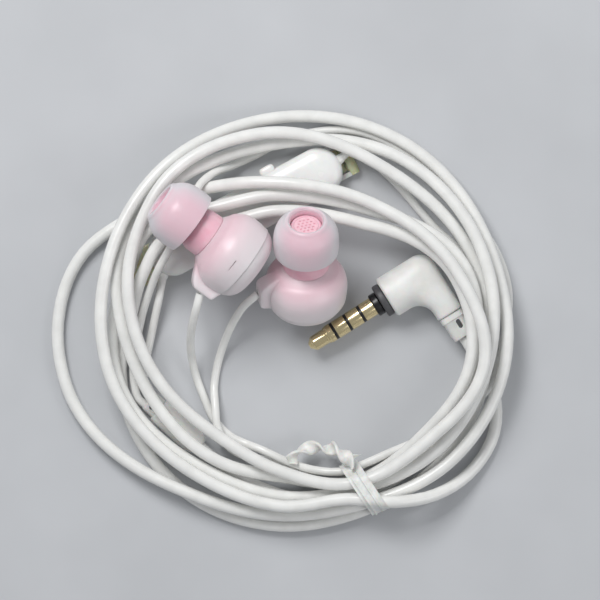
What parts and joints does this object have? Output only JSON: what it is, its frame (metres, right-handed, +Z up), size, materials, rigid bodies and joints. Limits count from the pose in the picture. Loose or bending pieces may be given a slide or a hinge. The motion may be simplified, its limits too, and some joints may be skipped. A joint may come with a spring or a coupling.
{
  "type": "wired in-ear earphones",
  "caption": "Wired in-ear earphones with soft ear tips, an in-line microphone control with a clip, a right-angle plug and a coiled cord held by a twist tie.",
  "frame": {"origin": "on the surface that the set lies on, under the middle of the two earbuds", "axes": "+Z up, +X from the left earbud towards the plug, +Y towards the in-line control"},
  "size_m": [0.0852, 0.0779, 0.0227],
  "materials": {
    "shell": "milky translucent white shell with a satin gloss",
    "pink": "pale pink translucent plastic",
    "tip_skirt": "milky translucent silicone",
    "tip_core": "pale pink silicone",
    "cord": "glossy white elastomer jacket",
    "white_plastic": "glossy white moulding",
    "gold": "polished gold plating",
    "black_ring": "black insulating plastic",
    "grey_ring": "dark grey satin",
    "steel": "plain steel",
    "magnet": "dark magnet",
    "board": "green laminate",
    "film": "thin amber film",
    "clip": "translucent yellowish plastic",
    "tie": "white plastic over a thin wire"
  },
  "bodies": {
    "set": {"left_front_shell": "shell", "left_back_cover": "shell", "left_nozzle": "pink", "left_grille": "pink", "left_driver_frame": "steel", "left_driver_magnet": "magnet", "left_voice_coil": "gold", "left_diaphragm": "film", "left_grommet": "cord", "right_front_shell": "shell", "right_back_cover": "shell", "right_nozzle": "pink", "right_grille": "pink", "right_driver_frame": "steel", "right_driver_magnet": "magnet", "right_voice_coil": "gold", "right_diaphragm": "film", "right_grommet": "cord", "plug_tip": "gold", "plug_insulator_1": "black_ring", "plug_ring_1": "gold", "plug_insulator_2": "black_ring", "plug_ring_2": "gold", "plug_insulator_3": "black_ring", "plug_sleeve": "gold", "plug_shoulder": "black_ring", "plug_collar": "grey_ring", "plug_elbow": "white_plastic", "plug_relief": "white_plastic", "control_front_shell": "white_plastic", "control_back_shell": "white_plastic", "control_boot_lower": "cord", "control_boot_upper": "cord", "control_board": "board", "control_microphone": "steel", "control_switch": "steel", "clip_pin": "steel", "clip_spring": "steel", "splitter_body": "white_plastic", "splitter_relief": "white_plastic", "main_cord_coil": "cord", "lead_plain": "cord", "lead_mic_lower": "cord", "lead_mic_upper": "cord", "tie_band": "tie", "tie_tail": "tie"},
    "left_tip": {"left_tip_core": "tip_core", "left_tip_skirt": "tip_skirt"},
    "right_tip": {"right_tip_core": "tip_core", "right_tip_skirt": "tip_skirt"},
    "side_button": {"control_button": "white_plastic"},
    "clip": {"control_clip": "clip"}
  },
  "joints": [
    {"name": "left_tip_slide", "type": "slide", "parent": "set", "child": "left_tip", "axis": [-0.7916, 0.5858, 0.1737], "range_m": [0, 0.009]},
    {"name": "right_tip_slide", "type": "slide", "parent": "set", "child": "right_tip", "axis": [0, 0.7071, 0.7071], "range_m": [0, 0.009]},
    {"name": "button_press", "type": "slide", "parent": "set", "child": "side_button", "axis": [0.4772, -0.8788, 0], "range_m": [0, 0.0003], "stiffness_N_per_m": 2000},
    {"name": "clip_hinge", "type": "hinge", "parent": "set", "child": "clip", "pos_m": [0.01813, 0.01812, 0.00105], "axis": [0.4772, -0.8788, 0], "range_deg": [0, 20], "stiffness_Nm_per_rad": 0.05}
  ]
}
